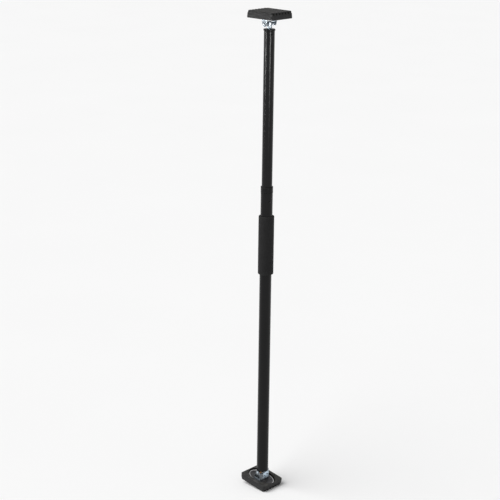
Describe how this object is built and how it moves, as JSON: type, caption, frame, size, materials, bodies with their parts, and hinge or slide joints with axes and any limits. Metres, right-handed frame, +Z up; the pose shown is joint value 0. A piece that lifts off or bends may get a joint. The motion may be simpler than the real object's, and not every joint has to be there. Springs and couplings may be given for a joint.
{
  "type": "pull up bar",
  "caption": "Telescoping tension pole used as a pull up bar: two steel tubes with a foam grip, a jack screw and a tilting rubber pad at each end.",
  "frame": {"origin": "on the pole's axis, level with the lowest edge of the lower pad", "axes": "+Z up the pole, +X along the long side of the pads, +Y along the pivot pins"},
  "size_m": [0.1122, 0.0918, 1.572],
  "materials": {
    "black_steel": "semi-gloss black powder coat on steel tube",
    "foam": "matt closed-cell foam",
    "black_plastic": "satin moulded plastic",
    "nylon": "natural nylon",
    "rubber": "matt moulded rubber",
    "plate": "dark satin plated steel with a worn bright lip",
    "zinc": "bright bluish zinc plate on steel",
    "spring_steel": "phosphated spring steel",
    "bronze": "sintered bronze"
  },
  "bodies": {
    "outer_tube": {"outer_tube": "black_steel", "foam_grip": "foam", "guide_collar": "black_plastic", "collar_rivet": "black_steel", "lower_end_plug": "black_plastic"},
    "lower_swivel": {"lower_spindle": "zinc", "spindle_washer": "zinc", "spindle_clip": "spring_steel"},
    "lower_pad": {"lower_rubber_pad": "rubber", "lower_base_plate": "plate", "lower_clevis_bracket": "zinc", "lower_bracket_rivets": "zinc", "lower_pivot_pin": "zinc", "lower_pin_clip": "spring_steel", "lower_spacer_bushes": "bronze"},
    "lock_sleeve": {"lock_expander": "nylon"},
    "lock_cone": {"lock_cone": "nylon"},
    "inner_tube": {"inner_tube": "black_steel", "lock_core": "nylon", "lock_stud": "zinc", "stud_clip": "spring_steel", "end_cap": "black_plastic", "screw_insert": "zinc", "cap_rivet": "black_steel"},
    "screw_tail": {"screw_tail_guide": "nylon"},
    "jack_screw": {"jack_screw": "zinc", "screw_clip": "spring_steel"},
    "upper_pad": {"upper_rubber_pad": "rubber", "upper_base_plate": "plate", "upper_clevis_bracket": "zinc", "upper_bracket_rivets": "zinc", "upper_pivot_pin": "zinc", "upper_pin_clip": "spring_steel", "upper_spacer_bushes": "zinc"}
  },
  "joints": [
    {"name": "lower_swivel_turn", "type": "hinge", "parent": "outer_tube", "child": "lower_swivel", "pos_m": [0, 0, 0.08], "axis": [0, 0, 1], "continuous": true},
    {"name": "lower_pad_tilt", "type": "hinge", "parent": "lower_swivel", "child": "lower_pad", "pos_m": [0, 0, 0.047], "axis": [0, 1, 0], "range_deg": [-53.3, 36.7]},
    {"name": "telescope_slide", "type": "slide", "parent": "outer_tube", "child": "lock_sleeve", "axis": [0, 0, 1], "range_m": [-0.465, 0.2]},
    {"name": "lock_cone_travel", "type": "slide", "parent": "lock_sleeve", "child": "lock_cone", "axis": [0, 0, 1], "range_m": [-0.002, 0]},
    {"name": "twist_lock_turn", "type": "hinge", "parent": "lock_sleeve", "child": "inner_tube", "pos_m": [0, 0, 0.7], "axis": [0, 0, 1], "range_deg": [0, 360]},
    {"name": "screw_travel", "type": "slide", "parent": "inner_tube", "child": "screw_tail", "axis": [0, 0, 1], "range_m": [-0.009, 0.045]},
    {"name": "screw_turn", "type": "hinge", "parent": "screw_tail", "child": "jack_screw", "pos_m": [0, 0, 1.4], "axis": [0, 0, 1], "range_deg": [-1080, 5400]},
    {"name": "upper_pad_tilt", "type": "hinge", "parent": "jack_screw", "child": "upper_pad", "pos_m": [0, 0, 1.532], "axis": [0, 1, 0], "range_deg": [-45, 45]}
  ],
  "couplings": [
    {"joint": "lock_cone_travel", "follows": "twist_lock_turn", "m_per_rad": -0.0003183},
    {"joint": "screw_travel", "follows": "screw_turn", "m_per_rad": 0.00047746}
  ]
}
